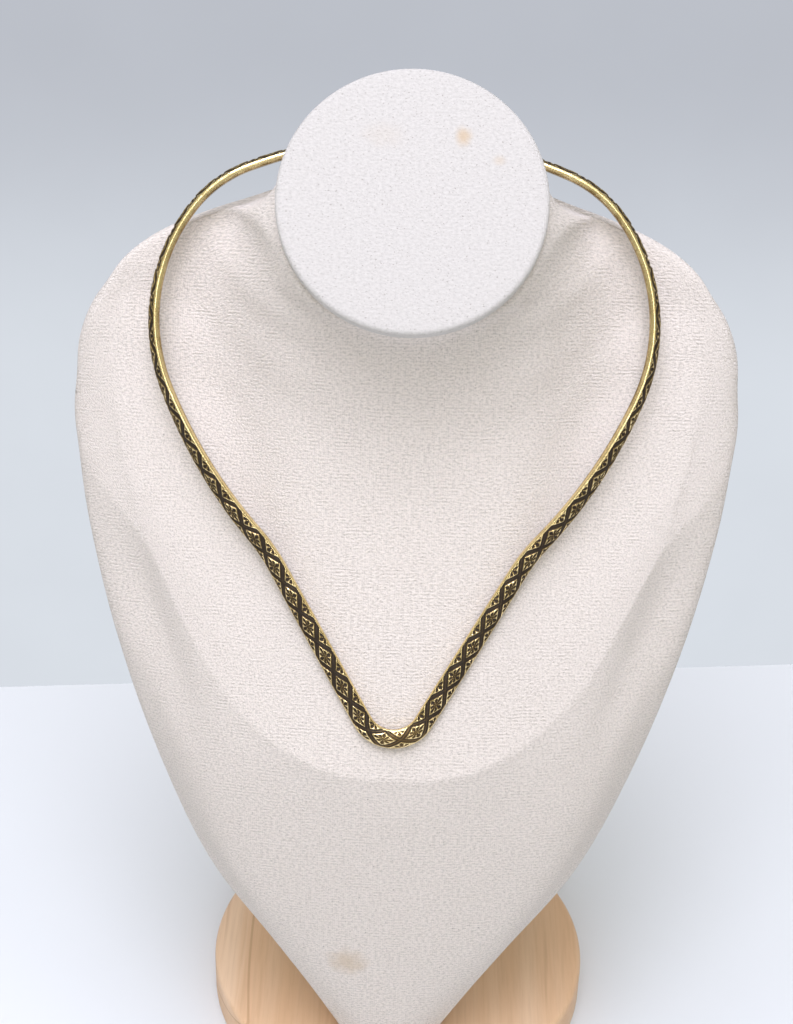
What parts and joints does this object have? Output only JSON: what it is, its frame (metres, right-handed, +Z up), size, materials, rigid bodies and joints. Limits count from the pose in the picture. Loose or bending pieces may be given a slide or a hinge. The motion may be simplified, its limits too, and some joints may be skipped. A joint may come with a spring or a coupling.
{
  "type": "v-shaped collar necklace on a neck bust stand",
  "caption": "Rigid V-shaped brass collar with stamped lozenges, worn on a linen-covered neck bust with a slanted round cap and a round wooden base.",
  "frame": {"origin": "middle of the wooden base's underside, where the stand rests", "axes": "+Z up, the front of the bust faces -Y, +X to the right when looking at the front"},
  "size_m": [0.1856, 0.1234, 0.32],
  "materials": {
    "base_wood": "pale fine-grained wood, sanded, satin",
    "bust_linen": "off-white ribbed linen, matt",
    "cap_linen": "off-white linen, matt, a faint stain",
    "collar_brass": "aged brass, polished high spots, blackened hollows",
    "clasp_brass": "plain aged brass"
  },
  "bodies": {
    "root": {"base": "base_wood", "bust": "bust_linen", "neck_disc": "cap_linen", "collar": "collar_brass", "clasp": "clasp_brass"}
  },
  "joints": []
}
